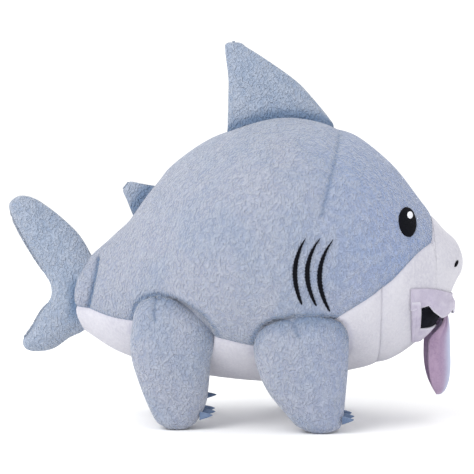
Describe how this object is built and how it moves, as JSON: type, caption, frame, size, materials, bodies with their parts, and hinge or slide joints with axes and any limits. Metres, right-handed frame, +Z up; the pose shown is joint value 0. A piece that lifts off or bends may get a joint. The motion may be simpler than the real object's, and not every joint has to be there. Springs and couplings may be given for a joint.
{
  "type": "plush shark",
  "caption": "Stuffed toy shark standing on stubby stuffed legs, with dorsal, rear and tail fins, felt mouth and claws and a hanging cloth tongue.",
  "frame": {"origin": "middle of the box's base, on the ground under the belly", "axes": "+X to the nose, +Y to the shark's left, +Z up"},
  "size_m": [0.3301, 0.1576, 0.276],
  "materials": {
    "blue_plush": "short-pile plush",
    "pale_fleece": "brushed fleece",
    "lilac_felt": "felt",
    "black_thread": "satin-stitched thread",
    "black_felt": "felt",
    "white_thread": "satin-stitched thread",
    "steel_felt": "felt",
    "pink_cloth": "brushed cloth",
    "wadding": "loose polyester filling"
  },
  "bodies": {
    "torso": {"back_panel_left": "blue_plush", "face_panel_left": "pale_fleece", "eye_left": "black_thread", "eye_highlight_left": "white_thread", "gill_stitches_left": "black_thread", "back_panel_right": "blue_plush", "face_panel_right": "pale_fleece", "eye_right": "black_thread", "eye_highlight_right": "white_thread", "gill_stitches_right": "black_thread", "belly_panel": "pale_fleece", "body_stuffing": "wadding", "mouth_lining": "black_felt", "upper_lip": "lilac_felt", "lower_lip": "lilac_felt", "nostrils": "black_thread"},
    "dorsal_fin": {"dorsal_fin_left": "blue_plush", "dorsal_fin_right": "blue_plush", "dorsal_fin_stuffing": "wadding"},
    "rear_fin": {"rear_fin_left": "blue_plush", "rear_fin_right": "blue_plush", "rear_fin_stuffing": "wadding"},
    "tail_fin": {"tail_fin_left": "blue_plush", "tail_fin_right": "blue_plush", "tail_fin_stuffing": "wadding"},
    "front_leg_left": {"front_leg_left_outer": "blue_plush", "front_leg_left_inner": "blue_plush", "front_leg_left_stuffing": "wadding", "front_leg_left_claws": "steel_felt"},
    "front_leg_right": {"front_leg_right_outer": "blue_plush", "front_leg_right_inner": "blue_plush", "front_leg_right_stuffing": "wadding", "front_leg_right_claws": "steel_felt"},
    "rear_leg_left": {"rear_leg_left_outer": "blue_plush", "rear_leg_left_inner": "blue_plush", "rear_leg_left_stuffing": "wadding", "rear_leg_left_claws": "steel_felt"},
    "rear_leg_right": {"rear_leg_right_outer": "blue_plush", "rear_leg_right_inner": "blue_plush", "rear_leg_right_stuffing": "wadding", "rear_leg_right_claws": "steel_felt"},
    "tongue": {"tongue_front": "pink_cloth", "tongue_back": "pink_cloth"}
  },
  "joints": [
    {"name": "dorsal_fin_bend", "type": "hinge", "parent": "torso", "child": "dorsal_fin", "pos_m": [0.034, 0, 0.215], "axis": [1, 0, 0], "range_deg": [-15, 15], "stiffness_Nm_per_rad": 0.05},
    {"name": "rear_fin_bend", "type": "hinge", "parent": "torso", "child": "rear_fin", "pos_m": [-0.07498, 0, 0.14801], "axis": [0.6229, 0, 0.7823], "range_deg": [-20, 20], "stiffness_Nm_per_rad": 0.02},
    {"name": "tail_sway", "type": "hinge", "parent": "torso", "child": "tail_fin", "pos_m": [-0.11, 0, 0.0912], "axis": [0, 0, 1], "range_deg": [-20, 20], "stiffness_Nm_per_rad": 0.1},
    {"name": "tongue_swing", "type": "hinge", "parent": "torso", "child": "tongue", "pos_m": [0.15152, 0, 0.077], "axis": [0, 1, 0], "range_deg": [-45, 6]},
    {"name": "front_leg_left_swing", "type": "hinge", "parent": "torso", "child": "front_leg_left", "pos_m": [0.046, 0, 0.05], "axis": [0, 1, 0], "range_deg": [-10, 10], "stiffness_Nm_per_rad": 1},
    {"name": "front_leg_right_swing", "type": "hinge", "parent": "torso", "child": "front_leg_right", "pos_m": [0.046, 0, 0.05], "axis": [0, 1, 0], "range_deg": [-10, 10], "stiffness_Nm_per_rad": 1},
    {"name": "rear_leg_left_swing", "type": "hinge", "parent": "torso", "child": "rear_leg_left", "pos_m": [-0.04601, 0, 0.064], "axis": [0, 1, 0], "range_deg": [-10, 10], "stiffness_Nm_per_rad": 1},
    {"name": "rear_leg_right_swing", "type": "hinge", "parent": "torso", "child": "rear_leg_right", "pos_m": [-0.04601, 0, 0.064], "axis": [0, 1, 0], "range_deg": [-10, 10], "stiffness_Nm_per_rad": 1}
  ]
}
